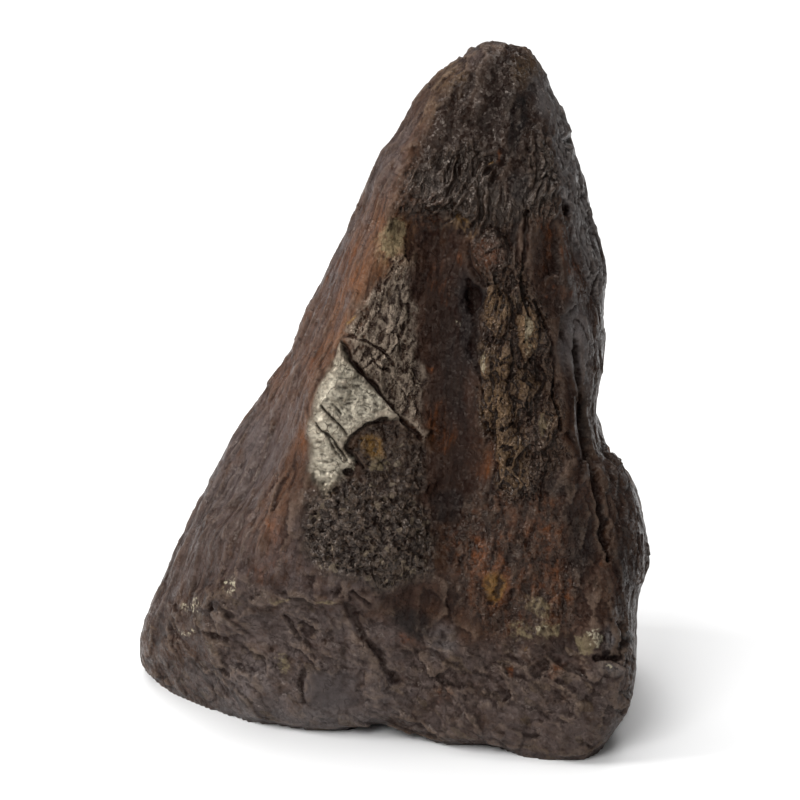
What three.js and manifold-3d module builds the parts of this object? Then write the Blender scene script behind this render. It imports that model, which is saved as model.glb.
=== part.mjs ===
// A stony meteorite: one weathered stone, standing on its broad broken end and tapering to a blunt tip.
// Millimetres, +Z up. The origin is under the middle of the stone's box, on the surface that it stands on.
// Its best side faces -Y. That side is laid out in a picture plane, square to the line of sight of someone
// who looks a little down at the stone: x to the right, h up from the lowest point of the outline.

import * as THREE from "three";
import { ConvexGeometry } from "three/addons/geometries/ConvexGeometry.js";
import { ImprovedNoise } from "three/addons/math/ImprovedNoise.js";
import { mergeVertices } from "three/addons/utils/BufferGeometryUtils.js";
import Module from "manifold-3d";

// The line of sight that the outline belongs to
const LOOK_DOWN = THREE.MathUtils.degToRad(18);
const VIEW_DISTANCE = 600;
const AIM = new THREE.Vector3(2.3, 0, 63.5); // the point that is looked at, and that the picture plane cuts
const AIM_H = 71.4; // its height in the picture plane

// The outline, clockwise from the lower left corner: [x, h]
const OUTLINE = [
  [-50.3, 18], [-46.9, 31.4], [-38.2, 49.2], [-32.5, 61.4], [-21.3, 79.4], [-13.3, 97.4], [-8.5, 109.4],
  [-1.5, 121.4], [5.9, 133.4], [13.7, 139.4], [19, 142.4], [25.5, 142.4], [31, 139], [33.5, 130.4],
  [38.3, 118.4], [41.7, 106.4], [43.3, 96], [42.1, 82], [41, 71], [42.2, 64], [46.4, 56.5], [49.9, 46.4],
  [50.4, 38.5], [48, 31], [47.8, 19], [45.8, 10], [40, 1.5], [33, 0.2], [26.3, 1.6], [23.3, 3.6],
  [11.3, 3.4], [5.3, 6], [-2.5, 7.6], [-9.7, 5.8], [-21.7, 6], [-31, 6.8], [-43, 11], [-48, 13.6],
];
const OUTLINE_STEPS = 4; // straight steps between two points of the outline
const OUTLINE_ALLOWANCE = 0.8; // what the wear of the edges takes off again

// Fracture faces. turn: degrees from the front to the right; lean: degrees that the face looks up;
// rounding: how far its edges are worn.
const FACES = [
  { name: "skirt", turn: -14, lean: 1, through: [-8, -24, 18], rounding: 4 },
  { name: "front", turn: -3, lean: 15, through: [-8, -25, 31], rounding: 5 },
  { name: "left flank", turn: -65, lean: 25, through: [-16, -16.5, 62.4], rounding: 5 },
  { name: "left corner", turn: -50, lean: -8, through: [-50, 2, 16], rounding: 5 },
  { name: "ridge chamfer", turn: -36, lean: 21, through: [-3, -10, 98], rounding: 3 },
  { name: "right front", turn: 60, lean: 17, through: [34.3, -11.9, 88], rounding: 5 },
  { name: "right edge", turn: 74, lean: 15, through: [38.5, 2, 106], rounding: 2 },
  { name: "tip front", turn: 6, lean: 36, through: [22, -2, 131], rounding: 4 },
  { name: "back left", turn: -139, lean: 20, through: [-28, 16, 55], rounding: 5 },
  { name: "back foot", turn: -168, lean: -7, through: [-10, 37, 20], rounding: 6 },
  { name: "back", turn: 174, lean: 9, through: [8, 36, 34], rounding: 4 },
  { name: "back shoulder", turn: 150, lean: 19, through: [26, 34, 84], rounding: 3 },
  { name: "back right", turn: 118, lean: 7, through: [43, 20, 60], rounding: 5 },
  { name: "tip back", turn: 176, lean: 45, through: [24, 24, 129], rounding: 4 },
  { name: "underside", turn: 0, lean: -90, through: [0, 0, -3], rounding: 6 },
];

// Swells and hollows, by the place on the surface that they spread from. rise is outwards.
const SWELLS = [
  { name: "grainy boss", at: [-5, -22, 42], reach: 19, rise: 3.2 },
  { name: "near foot", at: [34, -30, 8], reach: 22, rise: 2.2 },
  { name: "right slab", at: [47, 0, 42], reach: 17, rise: 0.8 },
  { name: "upper thumbprint", at: [2, 34, 74], reach: 20, rise: -3.4 },
  { name: "lower thumbprint", at: [24, 40, 34], reach: 19, rise: -3.2 },
  { name: "left thumbprint", at: [-26, 25, 30], reach: 18, rise: -3 },
  { name: "side thumbprint", at: [47, 18, 66], reach: 15, rise: -2.4 },
];

// Grooves and ribs on the best side, along a line of [x, h]. A groove's rise is negative.
const FOLDS = [
  { name: "valley", line: [[9, 104], [9, 92], [10, 75], [12, 58], [12, 46]], reach: 10, rise: -2.8 },
  { name: "grainy rib", line: [[21, 102], [22, 86], [24, 70], [28, 52], [27, 38]], reach: 8, rise: 1.4 },
  { name: "slab groove", reach: 6, rise: -1.6,
    line: [[36, 90], [38, 80], [38.5, 70], [42, 55], [43.5, 40]] },
  { name: "flake plate", line: [[-11, 72], [-8, 66]], reach: 12, rise: 1.4 },
  { name: "brow", line: [[1, 112], [10, 111], [20, 110.5], [28, 112]], reach: 8, rise: 1.4 },
  { name: "brow shade", line: [[5, 105.5], [14, 105.5], [24, 105]], reach: 6, rise: -1 },
  { name: "tip trough", line: [[22, 136], [25, 124], [26, 114]], reach: 9, rise: -1 },
  { name: "main ridge", reach: 7, rise: 1.2,
    line: [[0, 118], [-1, 108], [-8, 88], [-14, 70], [-17, 54], [-24, 40]] },
  { name: "flank hollow", reach: 9, rise: -1.2,
    line: [[-7, 112], [-10, 98], [-17, 84], [-23, 66], [-29, 52]] },
  { name: "skirt ledge", reach: 8, rise: 1,
    line: [[-46, 23], [-38, 27], [-28, 32], [-18, 34], [-6, 32]] },
  { name: "skirt gash", line: [[-8, 30], [-2, 24], [3, 17], [9, 9]], reach: 6, rise: -1.3 },
];
const BEST_SIDE = { from: 16, to: 6 }; // the depth, along Y, where the best side's folds begin and are full

// Cracks on the best side, along a line of [x, h]: how deep, and how far their lips open to the left and
// to the right of someone who goes along the line
const CRACKS = [
  { name: "flake crack", depth: 2, lips: [1.5, 0.3],
    line: [[-9.5, 83], [-7.3, 79], [-4.7, 75.6], [-1.3, 71.8], [3.5, 67.2], [6.5, 64]] },
  { name: "flake step", depth: 1.3, lips: [3.2, 0.3],
    line: [[-1.3, 67.6], [-3.5, 66.6], [-5.7, 65.4], [-7.7, 63.4], [-8.3, 61.8], [-6.7, 59.6]] },
  { name: "slab crack", depth: 2.6, lips: [0.6, 1],
    line: [[37.3, 83.4], [38, 76], [39.3, 67.4], [42.3, 51.4], [43.9, 39.4]] },
  { name: "skirt crack", depth: 1.4, lips: [1.2, 0.5],
    line: [[-8.7, 29.4], [-4, 25], [-1, 18], [2.3, 11.4]] },
  { name: "rib crack", depth: 1.8, lips: [0.5, 0.9],
    line: [[27, 109], [27.6, 103], [26.6, 97], [28, 88]] },
];

// Pits on the best side: [x, h] of the middle, width and height, turned by an angle in degrees
const PITS = [
  { name: "deep pit", at: [16.6, 91.4], size: [3, 6.4], turned: 8, depth: 2.6 },
  { name: "chipped hollow", at: [44.6, 21.6], size: [6.4, 10.4], turned: 12, depth: 3 },
  { name: "rim notch", at: [35.7, 110], size: [2.6, 4.4], turned: 10, depth: 1.8 },
  { name: "flake pit", at: [-8.5, 57], size: [3, 2.6], turned: 0, depth: 1.4 },
  { name: "skirt notch", at: [-17.7, 14.4], size: [2.4, 5], turned: 4, depth: 1.2 },
];

// Roughness of the whole surface: the size of the lumps and how far they stand out
const LUMPS = [
  { size: 31, rise: 1.3 },
  { size: 13, rise: 0.8 },
  { size: 6.3, rise: 0.45 },
];

// How the surface is found and divided
const SPHERE_DETAIL = 22;
const SPHERE_MERGE = 1e-4; // corners of the sphere nearer than this are one corner
const HEART = new THREE.Vector3(8, 2, 50); // every ray from here meets the surface once
const RAY_SPREAD = new THREE.Vector3(50, 38, 80); // spreads the rays as the stone is spread
const RAY_STEP = 2;
const RAY_HALVINGS = 16;
const SIGHT_START = 80; // how far in front of the picture plane the search along a line of sight begins
const SLOPE_STEP = 0.05;
const SLOPE_LEAST = 0.2;
const EVENING_ROUNDS = 10;
const EVENING_SHARE = 0.4;
const TURNING_ROUNDS = 4;
const TURNING_GAIN = 0.02; // how much nearer the surface a turned edge has to come
const TURNING_FACING = 0.8; // how squarely a turned triangle has to face the way that the two faced

// How the cutting shapes are made
const CRACK_END = 0.15; // a crack's share of its full size at both ends
const CRACK_ABOVE = 2.5; // how far a crack's cutting shape stands out of the surface
const PIT_DETAIL = 1;
const GROUND_SIDE = 300;

const STONE = { color: 0x3a2d28, roughness: 0.55, metalness: 0.1 };

const noise = new ImprovedNoise();

// Smooth shapes of meeting fields: the larger of two, and a fade from 1 to 0
function smoothMax(a, b, rounding) {
  const near = Math.max(rounding - Math.abs(a - b), 0) / rounding;
  return Math.max(a, b) + (near * near * rounding) / 4;
}

function fade(share) {
  return 1 - THREE.MathUtils.smoothstep(share, 0, 1);
}

// The picture plane
const SIGHT_UP = new THREE.Vector3(0, Math.sin(LOOK_DOWN), Math.cos(LOOK_DOWN));
const TO_VIEWER = new THREE.Vector3(0, -Math.cos(LOOK_DOWN), Math.sin(LOOK_DOWN));

function pictureOf(p) {
  const aside = p.clone().sub(AIM);
  const relief = aside.dot(TO_VIEWER);
  const nearer = VIEW_DISTANCE / (VIEW_DISTANCE - relief);
  return { x: AIM.x + aside.x * nearer, h: AIM_H + aside.dot(SIGHT_UP) * nearer, relief };
}

// Signed distance to the outline, in the picture plane: negative inside
const outline = new THREE.SplineCurve(
  [...OUTLINE, OUTLINE[0]].map(([x, h]) => new THREE.Vector2(x, h)),
).getPoints(OUTLINE.length * OUTLINE_STEPS);

// The square of the distance from a point to the straight step between two others
function squareToStep(x, h, ax, ah, bx, bh) {
  const ex = bx - ax;
  const eh = bh - ah;
  const t = THREE.MathUtils.clamp(((x - ax) * ex + (h - ah) * eh) / (ex * ex + eh * eh), 0, 1);
  return (x - ax - ex * t) ** 2 + (h - ah - eh * t) ** 2;
}

function distanceToLine(line, x, h) {
  let nearest = Infinity;
  for (let i = 1; i < line.length; i++) {
    nearest = Math.min(nearest, squareToStep(x, h, ...line[i - 1], ...line[i]));
  }
  return Math.sqrt(nearest);
}

function outlineDistance(x, h) {
  let nearest = Infinity;
  let inside = false;
  for (let i = 1; i < outline.length; i++) {
    const a = outline[i - 1];
    const b = outline[i];
    nearest = Math.min(nearest, squareToStep(x, h, a.x, a.y, b.x, b.y));
    if (a.y > h !== b.y > h && x < a.x + ((b.x - a.x) * (h - a.y)) / (b.y - a.y)) inside = !inside;
  }
  return (inside ? -1 : 1) * Math.sqrt(nearest) - OUTLINE_ALLOWANCE;
}

// Each face as a plane
const planes = FACES.map(({ turn, lean, through, rounding }) => {
  const a = THREE.MathUtils.degToRad(turn);
  const e = THREE.MathUtils.degToRad(lean);
  const normal = new THREE.Vector3(Math.sin(a) * Math.cos(e), -Math.cos(a) * Math.cos(e), Math.sin(e));
  const plane = new THREE.Plane().setFromNormalAndCoplanarPoint(normal, new THREE.Vector3(...through));
  return { plane, rounding };
});

// The stone as a field: negative inside, 0 on its surface
function stoneField(p) {
  const picture = pictureOf(p);
  let d = outlineDistance(picture.x, picture.h);
  for (const { plane, rounding } of planes) d = smoothMax(d, plane.distanceToPoint(p), rounding);
  for (const { at, reach, rise } of SWELLS) {
    d -= rise * fade(Math.hypot(p.x - at[0], p.y - at[1], p.z - at[2]) / reach);
  }
  const onBestSide = THREE.MathUtils.smoothstep(BEST_SIDE.from - p.y, 0, BEST_SIDE.from - BEST_SIDE.to);
  if (onBestSide > 0) {
    for (const { line, reach, rise } of FOLDS) {
      d -= onBestSide * rise * fade(distanceToLine(line, picture.x, picture.h) / reach);
    }
  }
  for (const { size, rise } of LUMPS) d -= rise * noise.noise(p.x / size, p.y / size, p.z / size);
  return d;
}

// The outward slope of the field
function slopeAt(p) {
  const here = stoneField(p);
  const slope = new THREE.Vector3();
  for (const axis of ["x", "y", "z"]) {
    const beside = p.clone();
    beside[axis] += SLOPE_STEP;
    slope[axis] = (stoneField(beside) - here) / SLOPE_STEP;
  }
  return { here, slope };
}

// The place where a ray first crosses the surface
function crossingOf(start, direction) {
  const at = (t) => start.clone().addScaledVector(direction, t);
  const startsInside = stoneField(start) < 0;
  let before = 0;
  let after = RAY_STEP;
  while (stoneField(at(after)) < 0 === startsInside) {
    before = after;
    after += RAY_STEP;
  }
  for (let i = 0; i < RAY_HALVINGS; i++) {
    const middle = (before + after) / 2;
    if (stoneField(at(middle)) < 0 === startsInside) before = middle;
    else after = middle;
  }
  return at(after);
}

// Rays through a sphere's corners, to where they leave the stone
function raySkin() {
  const sphere = new THREE.IcosahedronGeometry(1, SPHERE_DETAIL);
  sphere.deleteAttribute("normal");
  sphere.deleteAttribute("uv");
  const { attributes, index } = mergeVertices(sphere, SPHERE_MERGE);
  const places = [];
  for (let i = 0; i < attributes.position.count; i++) {
    const corner = new THREE.Vector3().fromBufferAttribute(attributes.position, i);
    places.push(crossingOf(HEART, corner.multiply(RAY_SPREAD).normalize()));
  }
  const triangles = [];
  for (let i = 0; i < index.count; i += 3) triangles.push([...index.array.subarray(i, i + 3)]);
  return { places, triangles };
}

// Spreads the places evenly along the surface
function evenOut({ places, triangles }) {
  const beside = places.map(() => new Set());
  for (const [a, b, c] of triangles) {
    beside[a].add(b).add(c);
    beside[b].add(c).add(a);
    beside[c].add(a).add(b);
  }
  for (let round = 0; round < EVENING_ROUNDS; round++) {
    const moved = places.map((place, i) => {
      const middle = new THREE.Vector3();
      for (const j of beside[i]) middle.add(places[j]);
      return place.clone().lerp(middle.divideScalar(beside[i].size), EVENING_SHARE);
    });
    moved.forEach((place, i) => {
      const { here, slope } = slopeAt(place);
      places[i].copy(place).addScaledVector(slope, -here / Math.max(slope.lengthSq(), SLOPE_LEAST));
    });
  }
}

// Turns the edge between two triangles where the other way across lies nearer the surface, so that edges
// follow the ridges and grooves
function turnEdges({ places, triangles }) {
  const middleOff = (i, j) => Math.abs(stoneField(places[i].clone().lerp(places[j], 0.5)));
  const normal = ([a, b, c]) => {
    return new THREE.Triangle(places[a], places[b], places[c]).getNormal(new THREE.Vector3());
  };
  for (let round = 0; round < TURNING_ROUNDS; round++) {
    const across = new Map();
    triangles.forEach(([a, b, c], t) => {
      for (const [i, j, k] of [[a, b, c], [b, c, a], [c, a, b]]) across.set(i + "_" + j, { t, k });
    });
    const turned = new Set();
    const added = new Set();
    for (const [edge, { t, k }] of across) {
      const [i, j] = edge.split("_").map(Number);
      const other = across.get(j + "_" + i);
      if (turned.has(t) || turned.has(other.t)) continue;
      const crossing = [k + "_" + other.k, other.k + "_" + k];
      if (crossing.some((way) => across.has(way) || added.has(way))) continue;
      if (middleOff(k, other.k) + TURNING_GAIN > middleOff(i, j)) continue;
      const pair = [[k, i, other.k], [other.k, j, k]];
      const facing = normal(triangles[t]).add(normal(triangles[other.t]));
      if (pair.some((triangle) => normal(triangle).dot(facing) < TURNING_FACING)) continue;
      [triangles[t], triangles[other.t]] = pair;
      turned.add(t).add(other.t);
      crossing.forEach((way) => added.add(way));
    }
  }
}

// A closed skin over the field
function stoneSkin() {
  const skin = raySkin();
  evenOut(skin);
  turnEdges(skin);
  return new THREE.BufferGeometry().setFromPoints(skin.places).setIndex(skin.triangles.flat());
}

const wasm = await Module();
wasm.setup();

function solidOf(geometry) {
  return new wasm.Manifold(
    new wasm.Mesh({
      numProp: 3,
      vertProperties: new Float32Array(geometry.attributes.position.array),
      triVerts: new Uint32Array(geometry.index.array),
    }),
  );
}

function geometryOf(solid) {
  const { vertProperties, triVerts } = solid.getMesh();
  return new THREE.BufferGeometry()
    .setAttribute("position", new THREE.BufferAttribute(vertProperties, 3))
    .setIndex(new THREE.BufferAttribute(triVerts, 1));
}

// A shape without its shading data, as a solid
function bareSolid(geometry) {
  geometry.deleteAttribute("normal");
  geometry.deleteAttribute("uv");
  return solidOf(mergeVertices(geometry));
}

// The place on the best side's surface that is seen at x, h of the picture plane
function seenAt(x, h) {
  const onPlane = AIM.clone().addScaledVector(SIGHT_UP, h - AIM_H);
  onPlane.x = x;
  const eye = AIM.clone().addScaledVector(TO_VIEWER, VIEW_DISTANCE);
  const sight = onPlane.sub(eye).normalize();
  return crossingOf(eye.addScaledVector(sight, VIEW_DISTANCE - SIGHT_START), sight);
}

// A wedge along a line: each straight step of it is one convex shape
function crackSolid({ line, depth, lips }) {
  const points = line.map(([x, h]) => new THREE.Vector2(x, h));
  const rings = points.map((point, i) => {
    const last = points.length - 1;
    const along = points[Math.min(i + 1, last)].clone().sub(points[Math.max(i - 1, 0)]).normalize();
    const aside = new THREE.Vector3(along.y, 0, 0).addScaledVector(SIGHT_UP, -along.x);
    const size = i === 0 || i === last ? CRACK_END : 1;
    const opening = (size * (depth + CRACK_ABOVE)) / depth;
    const bottom = seenAt(point.x, point.y).addScaledVector(TO_VIEWER, -depth * size);
    const top = seenAt(point.x, point.y).addScaledVector(TO_VIEWER, CRACK_ABOVE);
    const left = top.clone().addScaledVector(aside, -lips[0] * opening);
    const right = top.clone().addScaledVector(aside, lips[1] * opening);
    return [left, right, bottom];
  });
  const steps = rings.slice(1).map((ring, i) => bareSolid(new ConvexGeometry([...rings[i], ...ring])));
  return wasm.Manifold.union(steps);
}

// A rounded lump that is let into the surface
function pitSolid({ at, size, turned, depth }) {
  const shape = new THREE.IcosahedronGeometry(1, PIT_DETAIL).scale(size[0] / 2, size[1] / 2, depth);
  shape.rotateZ(THREE.MathUtils.degToRad(turned)).rotateX(Math.PI / 2 - LOOK_DOWN);
  return bareSolid(shape.translate(...seenAt(...at)));
}

// The ground that the stone stands on, to cut its foot flat
function groundSolid() {
  const block = new THREE.BoxGeometry(GROUND_SIDE, GROUND_SIDE, GROUND_SIDE);
  return bareSolid(block.translate(0, 0, -GROUND_SIDE / 2));
}

const cuts = wasm.Manifold.union([groundSolid(), ...CRACKS.map(crackSolid), ...PITS.map(pitSolid)]);
const shape = geometryOf(solidOf(stoneSkin()).subtract(cuts));

// The origin is put under the middle of the box
shape.computeBoundingBox();
const middle = shape.boundingBox.getCenter(new THREE.Vector3());
shape.translate(-middle.x, -middle.y, 0);

const stone = new THREE.Mesh(shape, new THREE.MeshStandardMaterial(STONE));
stone.name = "meteorite";

const meteorite = new THREE.Group();
meteorite.add(stone);

export default meteorite;
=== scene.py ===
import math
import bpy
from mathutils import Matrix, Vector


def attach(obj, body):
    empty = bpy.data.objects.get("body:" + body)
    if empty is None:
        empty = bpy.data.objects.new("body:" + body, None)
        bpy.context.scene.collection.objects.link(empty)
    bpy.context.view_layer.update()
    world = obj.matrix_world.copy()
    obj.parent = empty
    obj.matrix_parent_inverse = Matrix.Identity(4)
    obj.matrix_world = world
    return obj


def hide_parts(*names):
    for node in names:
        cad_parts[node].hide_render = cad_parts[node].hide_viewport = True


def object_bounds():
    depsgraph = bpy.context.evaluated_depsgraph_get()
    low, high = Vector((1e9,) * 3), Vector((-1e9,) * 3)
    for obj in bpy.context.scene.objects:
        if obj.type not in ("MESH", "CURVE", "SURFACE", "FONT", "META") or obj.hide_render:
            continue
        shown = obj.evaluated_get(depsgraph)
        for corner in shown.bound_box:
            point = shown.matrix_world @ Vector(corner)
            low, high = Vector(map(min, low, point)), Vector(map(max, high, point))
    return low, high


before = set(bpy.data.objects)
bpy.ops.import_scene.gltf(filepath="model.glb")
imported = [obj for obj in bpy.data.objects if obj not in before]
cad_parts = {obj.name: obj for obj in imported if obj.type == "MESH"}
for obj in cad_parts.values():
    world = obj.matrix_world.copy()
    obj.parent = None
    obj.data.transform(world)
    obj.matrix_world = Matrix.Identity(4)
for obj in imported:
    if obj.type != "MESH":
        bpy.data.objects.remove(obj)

# A weathered stony meteorite: the fine surface and finish of the one stone in the frame.
# Lengths are in metres. Marks that the photograph shows are placed by its pixels, 800 by 800.

from types import SimpleNamespace

import bpy
import numpy as np
from mathutils import Vector, noise

CAD_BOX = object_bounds()
MM = 0.001
noise.seed_set(11)

# The photograph's view
PICTURE = 800  # pixels
PICTURE_SPAN = 0.160  # what the picture's width spans at the point looked at
VIEW_DISTANCE = 0.600
LOOK_DOWN = math.radians(18)
AIM = Vector((0.0023, -0.0025, 0.0635))
SENSOR = 36.0
TO_VIEWER = Vector((0, -math.cos(LOOK_DOWN), math.sin(LOOK_DOWN)))
SIGHT_UP = Vector((0, math.sin(LOOK_DOWN), math.cos(LOOK_DOWN)))
PIXELS_PER_METRE = PICTURE / PICTURE_SPAN

# The studio
FLOOR_SIDE = 6
FLOOR_WHITE = (0.85, 0.85, 0.85, 1)
FLOOR_ROUGHNESS = 0.8
ROOM_WHITE = (1, 1, 1, 1)
ROOM_STRENGTH = 0.2
LIGHTS = [  # name, place, side in metres, power in watts
    ("top_light", (0.0, 0.5, 1.1), 1.2, 16),
    ("key_light", (-0.9, -0.05, 0.6), 0.35, 8),
    ("front_light", (-0.4, -0.75, 0.75), 0.6, 8),
]

# How finely the surface is divided
VOXEL = 1.0 * MM
MERGE_WITHIN = 0.001 * MM
SMOOTHING_ROUNDS = 4
SMOOTHING_SHARE = 0.5
FOOT_BAND = 0.45 * MM  # what lies lower than this is pressed flat as the foot
FOOT_FREE = (0.2 * MM, 2.5 * MM)  # the heights where the relief begins and is full
FRONT_FACING = 0.12  # faces that look at the viewer more than this are divided once more
BROKEN_FEATHER = 8  # pixels
BROKEN_SHARE = 0.4  # broken places are divided twice where their weight is more than this
MOST_TRIANGLES = 195_000
WEIGHT_LEVELS = 400  # steps that the relief's heights are rounded to

# How the relief's shapes are made
CELL_MIDDLE = Vector((0.5, 0.5, 0.5))
CHIP_STEP = 0.3  # how far the flats of a break are set above each other
CREVICE_WIDTH = 0.06  # in cells
FINER_CRESTS = 2.3  # how many times finer a ridge's second crests are
LEAST_WEIGHT = 0.02  # a layer is left out where its weight is less than this
BLOT_CORE = 0.3  # the share of a blot that is at its full strength

# The stone's taper
STONE_HEIGHT = CAD_BOX[1].z
TIP_OFFSET = (0.022, 0.0085)  # how far the tip stands to the right of and behind the foot's middle
FIBRE_TAPER = 0.45
SKIRT_SLANT = math.radians(28)  # how far the skirt's flakes run down to the right

# How areas begin and end
WANDER = [(5 * MM, 9), (1.6 * MM, 4)]  # the size of an edge's bends, and how far they go in pixels
FRONT_FADE = (-0.05, 0.15)  # how far a place looks at the viewer where the best side begins and is full
AWAY_FADE = (0.1, 0.4)  # how far it looks away where the far side begins and is full
VALLEY_TOP = (222, 275)  # pixels
ZONE_SIZE = 26 * MM
DRIFT_SIZE = 15 * MM

# Areas of the best side, by their corners
UPPER_FACET = [
    (436, 118), (462, 70), (505, 52), (540, 66), (552, 130), (556, 214), (510, 222), (402, 216), (410, 165),
]
HACKLY_BREAK = [
    (404, 172), (440, 150), (476, 140), (496, 158), (504, 196), (522, 192), (530, 150), (548, 136),
    (566, 170), (556, 218), (500, 232), (440, 222), (400, 212),
]
ORANGE_BAND = [
    (432, 98), (412, 190), (408, 262), (362, 326), (332, 370), (312, 430), (300, 500), (262, 566),
    (246, 540), (292, 440), (322, 350), (345, 285), (372, 200),
]
LEFT_FLANK = [
    (432, 98), (384, 196), (366, 260), (322, 350), (292, 440), (255, 540), (165, 620), (130, 640),
    (180, 500), (290, 320), (370, 150),
]
VALLEY = [(424, 236), (466, 228), (468, 330), (476, 470), (470, 506), (440, 500), (432, 400), (422, 300)]
RIB = [
    (474, 236), (512, 228), (524, 270), (546, 300), (550, 350), (562, 400), (566, 452), (540, 500),
    (500, 505), (484, 440), (476, 380), (478, 320),
]
SLABS = [
    (526, 226), (556, 214), (580, 300), (592, 430), (602, 480), (574, 480), (562, 400), (552, 330),
    (534, 270),
]
CRUMPLED = [
    (350, 322), (368, 306), (384, 282), (396, 258), (410, 262), (412, 330), (420, 380), (424, 436),
    (404, 418), (382, 396), (352, 358),
]
FLAKE = [
    (341, 342), (352, 362), (365, 379), (382, 398), (402, 418), (382, 419), (371, 424), (360, 430),
    (350, 440), (347, 448), (356, 460), (345, 472), (326, 492), (314, 470), (312, 430), (315, 403),
    (323, 385), (333, 365),
]
RECESS = [
    (404, 420), (423, 440), (432, 470), (420, 505), (376, 505), (356, 478), (366, 466), (352, 450),
    (364, 432), (384, 423),
]
BOSS = [(312, 492), (345, 476), (420, 496), (438, 536), (430, 574), (384, 588), (330, 574), (300, 546)]
RUSTY_SLOPE = [(452, 500), (560, 480), (590, 560), (570, 630), (490, 640), (446, 590)]
RIGHT_FLANK = [
    (556, 70), (560, 215), (576, 330), (590, 430), (606, 520), (612, 620), (660, 640), (670, 500),
    (620, 380), (620, 60),
]
RIM_FACET = [(540, 58), (556, 66), (582, 140), (602, 240), (608, 310), (592, 292), (572, 222), (556, 140)]
SMOOTH_PATCH = [(301, 674), (345, 671), (362, 680), (366, 704), (330, 711), (301, 703)]
SKIRT = [(120, 610), (260, 585), (340, 600), (470, 640), (640, 640), (660, 780), (100, 780)]
AREAS = [  # name, corners, feather of the edge in pixels
    ("upper facet", UPPER_FACET, 12), ("hackly break", HACKLY_BREAK, 14), ("orange band", ORANGE_BAND, 12),
    ("left flank", LEFT_FLANK, 14), ("valley", VALLEY, 12), ("rib", RIB, 8), ("slabs", SLABS, 9),
    ("crumpled", CRUMPLED, 7), ("recess", RECESS, 6), ("boss", BOSS, 9), ("rusty slope", RUSTY_SLOPE, 14),
    ("right flank", RIGHT_FLANK, 10), ("rim facet", RIM_FACET, 5), ("skirt", SKIRT, 12),
]
BROKEN = [FLAKE, RECESS, BOSS, RIB, CRUMPLED, HACKLY_BREAK]

# Ovals of the best side: place, size and tilt
EGG = ((490, 251), (38, 52), 0)  # a round lump on the rib
VALLEY_EDGE = ((468, 340), (80, 320), -4)
WARMEST = ((365, 275), (170, 200), 20)
WARM_FLANK = ((310, 355), (120, 220), 24)

# Raised forms: place, size and tilt in the picture, height in metres
KNOBS = [
    ((490, 251), (36, 50), 0, 1.2 * MM), ((497, 307), (34, 58), -6, 1.4 * MM),
    ((527, 333), (24, 64), 0, 1.7 * MM), ((494, 361), (38, 46), 0, 1.3 * MM),
    ((498, 404), (36, 64), -8, 1.5 * MM), ((525, 386), (32, 34), 0, 1.1 * MM),
    ((545, 350), (18, 42), 0, 0.9 * MM), ((508, 454), (34, 62), -4, 1.3 * MM),
    ((530, 478), (36, 56), 0, 1.0 * MM), ((545, 425), (26, 56), 12, 1.1 * MM),
    ((530, 436), (22, 44), 0, 0.8 * MM), ((394, 320), (26, 44), 10, 0.5 * MM),
    ((366, 330), (30, 26), 30, 0.6 * MM), ((590, 640), (30, 40), 0, 0.6 * MM),
    ((537, 610), (44, 40), 0, 0.5 * MM), ((206, 596), (40, 20), -35, 0.4 * MM),
    ((611, 650), (36, 58), 10, 1.6 * MM),
]
KNOB_FOOT = 0.35 * MM  # a knob counts as one above this height
RIB_GAP = 0.5 * MM  # how deep the rib lies between its knobs
FLAKE_LIFT = 0.8  # millimetres
RECESS_DEPTH = 0.5  # millimetres

# Raised lips: name, line, reach in pixels, height in metres
LIPS = [
    ("gash lip", [(330, 604), (344, 620), (352, 640), (366, 660), (378, 690)], 20, 0.5 * MM),
    ("shoulder", [(176, 622), (204, 600), (232, 582), (262, 592)], 18, 0.4 * MM),
    ("skirt brow", [(262, 600), (292, 598), (336, 598)], 9, 0.4 * MM),
]

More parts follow.
